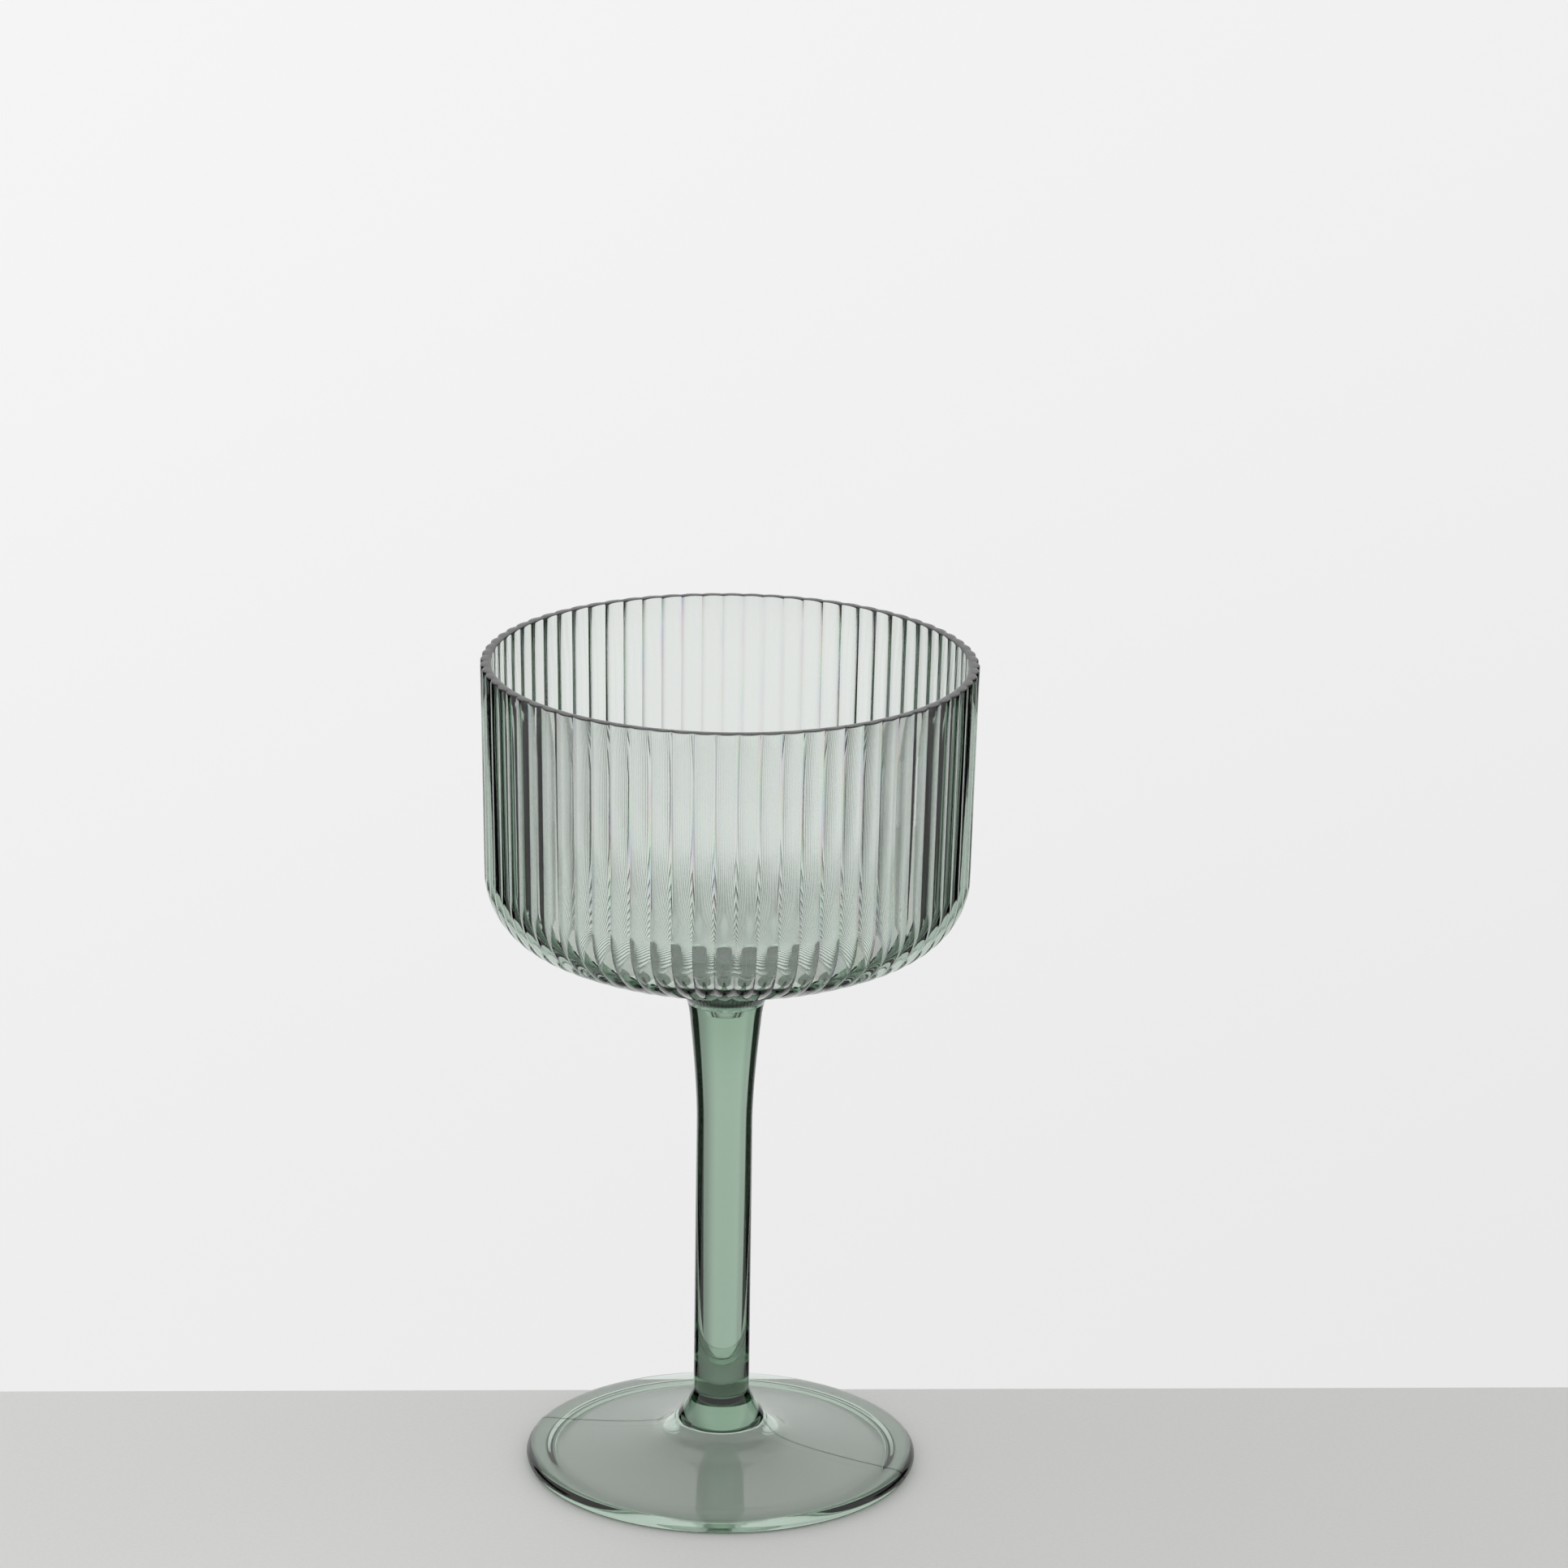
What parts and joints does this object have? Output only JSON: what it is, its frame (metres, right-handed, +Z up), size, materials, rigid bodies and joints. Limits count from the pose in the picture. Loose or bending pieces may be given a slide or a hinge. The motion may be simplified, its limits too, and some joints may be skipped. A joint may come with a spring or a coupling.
{
  "type": "wine glass",
  "caption": "Stemmed coupe wine glass in clear grey-green plastic: straight-sided bowl with vertical ribs outside, solid round stem and thin domed disc foot.",
  "frame": {"origin": "centre of the foot, on the surface the glass stands on", "axes": "+Z up along the axis of the glass; the parting line of the stem and foot lies 19 degrees from +X, its near half at +X and -Y"},
  "size_m": [0.09, 0.09, 0.155],
  "materials": {
    "bowl_plastic": "polished",
    "stem_plastic": "polished"
  },
  "bodies": {
    "root": {"bowl": "bowl_plastic", "stem_and_foot": "stem_plastic"}
  },
  "joints": []
}
